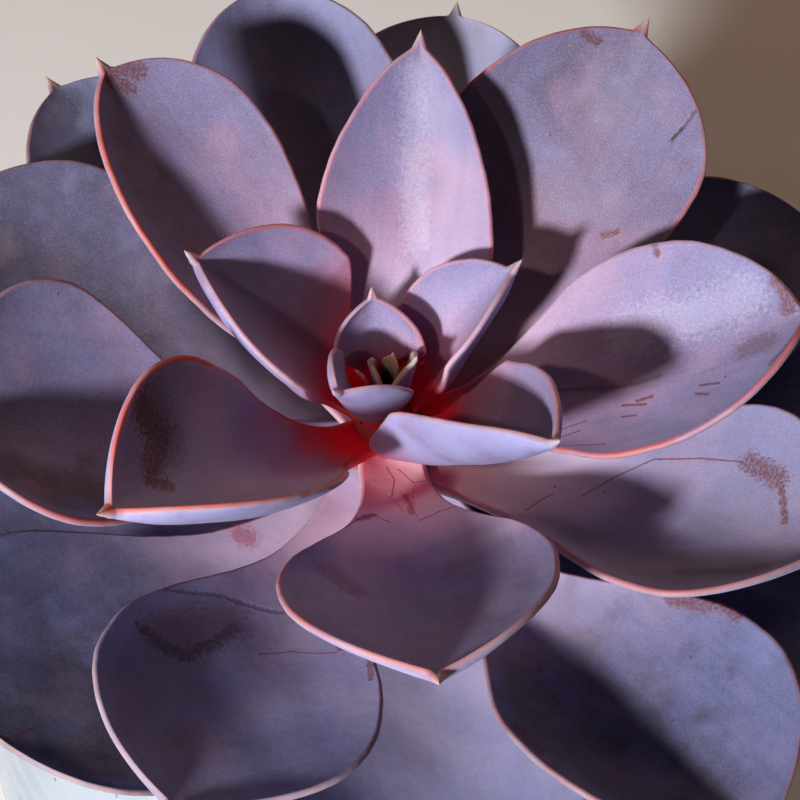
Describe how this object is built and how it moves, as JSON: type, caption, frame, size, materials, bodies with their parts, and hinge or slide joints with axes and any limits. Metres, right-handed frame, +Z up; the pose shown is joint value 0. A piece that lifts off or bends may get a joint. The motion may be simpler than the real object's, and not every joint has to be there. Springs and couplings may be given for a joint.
{
  "type": "potted echeveria",
  "caption": "Potted echeveria: a rosette of broad, pointed, waxy grey-violet leaves on a short stem, in soil in a round bellied glazed pot.",
  "frame": {"origin": "centre of the pot's flat base, on the surface it stands on", "axes": "+Z up along the pot's axis; the picture looks from the front, -Y"},
  "size_m": [0.1656, 0.1638, 0.1902],
  "materials": {
    "pot_glaze": "smooth pale bluish-white glaze",
    "soil": "loose dark grit and earth",
    "stem": "dry brown bark with leaf scars, green at the growing point",
    "leaf": "fleshy leaf with a waxy bloom, satin, rose-red margins"
  },
  "bodies": {
    "root": {"pot": "pot_glaze", "soil": "soil", "stem": "stem", "leaf_03": "leaf", "leaf_04": "leaf", "leaf_05": "leaf", "leaf_06": "leaf", "leaf_07": "leaf", "leaf_08": "leaf", "leaf_09": "leaf", "leaf_10": "leaf", "leaf_11": "leaf", "leaf_12": "leaf", "leaf_13": "leaf", "leaf_14": "leaf", "leaf_15": "leaf", "leaf_16": "leaf", "leaf_17": "leaf", "leaf_18": "leaf", "leaf_19": "leaf", "leaf_20": "leaf", "leaf_21": "leaf", "leaf_22": "leaf", "leaf_23": "leaf", "leaf_24": "leaf", "leaf_25": "leaf", "leaf_26": "leaf", "leaf_27": "leaf", "leaf_28": "leaf"}
  },
  "joints": []
}
